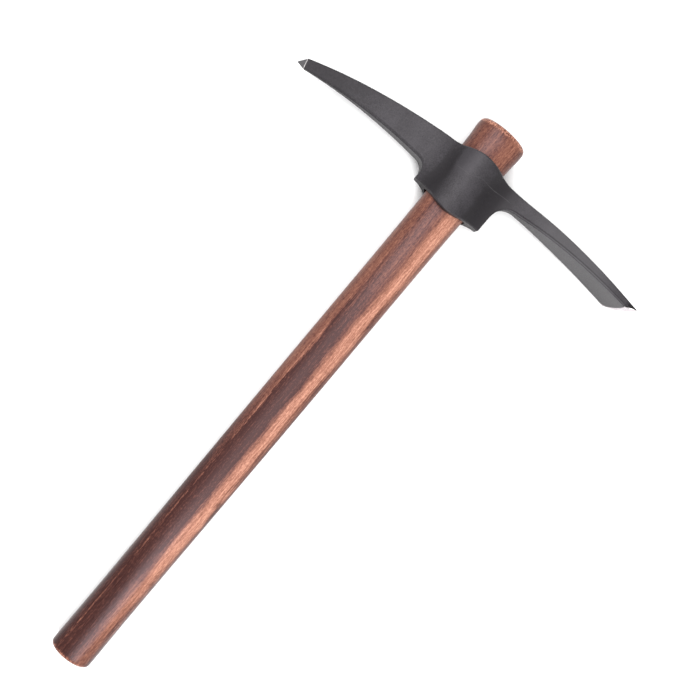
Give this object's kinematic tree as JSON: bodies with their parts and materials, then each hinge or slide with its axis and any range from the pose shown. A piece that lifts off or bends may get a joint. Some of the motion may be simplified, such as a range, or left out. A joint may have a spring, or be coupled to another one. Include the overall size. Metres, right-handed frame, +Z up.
{
  "type": "pick mattock",
  "caption": "Short pick mattock: a forged head with a pointed pick and a wide adze, its tapered oval eye slipped over the flared top of a wooden handle.",
  "frame": {"origin": "on the surface the tool lies on, under the middle of its box. The tool lies on its side, on one corner of the adze, the grip-side edge of the collar and the rim of the butt", "axes": "+X along the handle, from the butt to the head end. +Y towards the pick's point and -Y towards the adze's edge. +Z up, through the tool's thickness, which is the side that the picture shows"},
  "size_m": [0.5012, 0.3046, 0.0502],
  "materials": {
    "blackened_steel": "satin charcoal on a forged surface, with bright ground steel at the pick's point and the adze's cutting edge",
    "lacquered_hickory": "flame-burnt hickory under a satin reddish-brown lacquer, with paler worn rims at both ends"
  },
  "bodies": {
    "head": {"head": "blackened_steel"},
    "handle": {"handle": "lacquered_hickory"}
  },
  "joints": [
    {"name": "handle_slide", "type": "slide", "parent": "head", "child": "handle", "axis": [0.9998, 0.0002, 0.0221], "range_m": [0, 0.48]}
  ]
}
